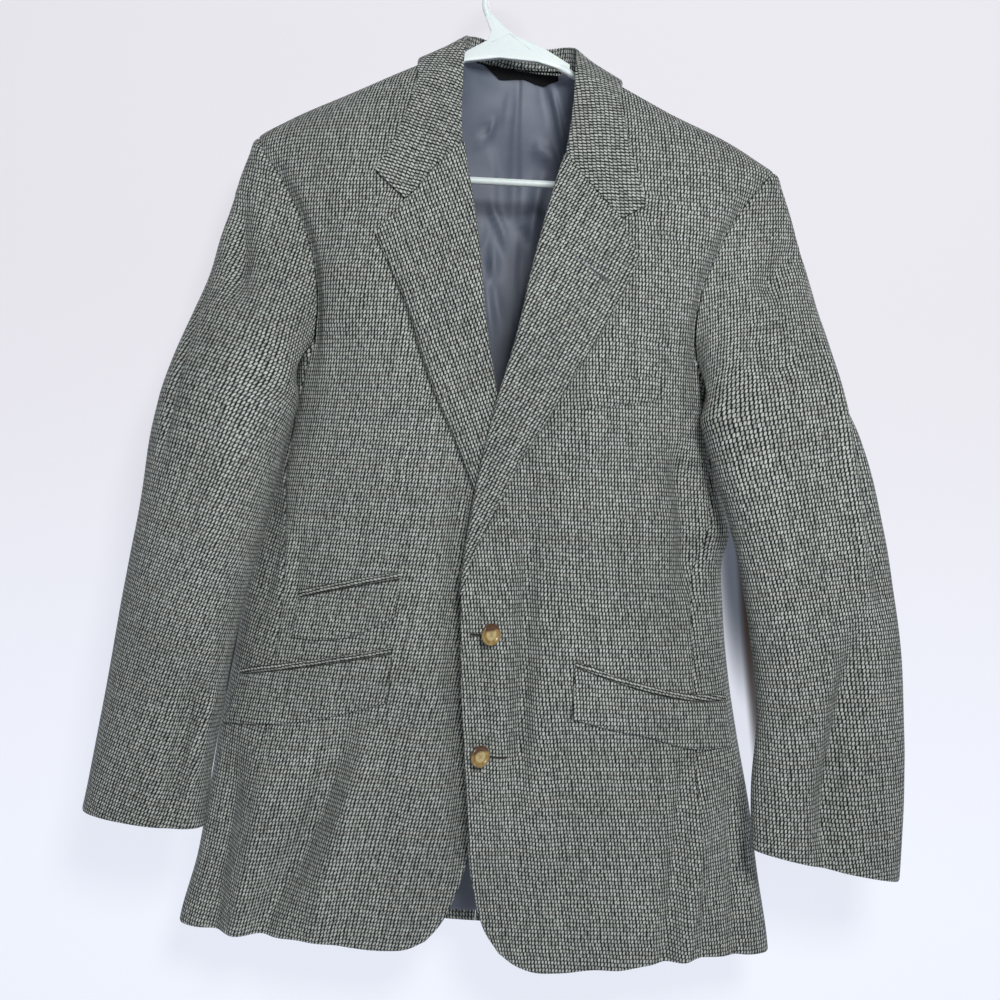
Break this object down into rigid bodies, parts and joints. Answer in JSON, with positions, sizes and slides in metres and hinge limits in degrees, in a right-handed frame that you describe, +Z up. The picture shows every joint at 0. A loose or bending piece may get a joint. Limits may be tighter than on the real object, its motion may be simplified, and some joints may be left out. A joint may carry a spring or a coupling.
{
  "type": "tweed hacking jacket on a hanger",
  "caption": "Long single-breasted tweed hacking jacket with notched lapels, slanted flap pockets and a ticket pocket, hanging buttoned on a plain plastic hanger.",
  "frame": {"origin": "inside top of the hanger's hook, where the rail carries it, midway through the hanger's thickness", "axes": "+Z up; -Y is the front of the jacket; +X is the wearer's left, which is on the right of a front view"},
  "size_m": [0.7709, 0.1663, 0.9577],
  "materials": {
    "tweed": "coarse green-grey tweed, dull and slightly hairy",
    "satin_lining": "blue-grey satin with a soft sheen",
    "black_label": "plain black woven ribbon",
    "horn": "mottled brown horn look, half gloss",
    "white_plastic": "white moulded plastic, half gloss"
  },
  "bodies": {
    "root": {"left_front": "tweed", "right_front": "tweed", "left_side_body": "tweed", "right_side_body": "tweed", "left_back": "tweed", "right_back": "tweed", "left_top_sleeve": "tweed", "left_under_sleeve": "tweed", "right_top_sleeve": "tweed", "right_under_sleeve": "tweed", "left_lapel": "tweed", "right_lapel": "tweed", "collar": "tweed", "ticket_flap": "tweed", "ticket_jetting": "tweed", "right_hip_flap": "tweed", "right_hip_jetting": "tweed", "left_hip_flap": "tweed", "left_hip_jetting": "tweed", "breast_welt": "tweed", "back_lining": "satin_lining", "neck_label": "black_label", "upper_button": "horn", "lower_button": "horn", "hanger": "white_plastic", "hanger_hook": "white_plastic"}
  },
  "joints": []
}
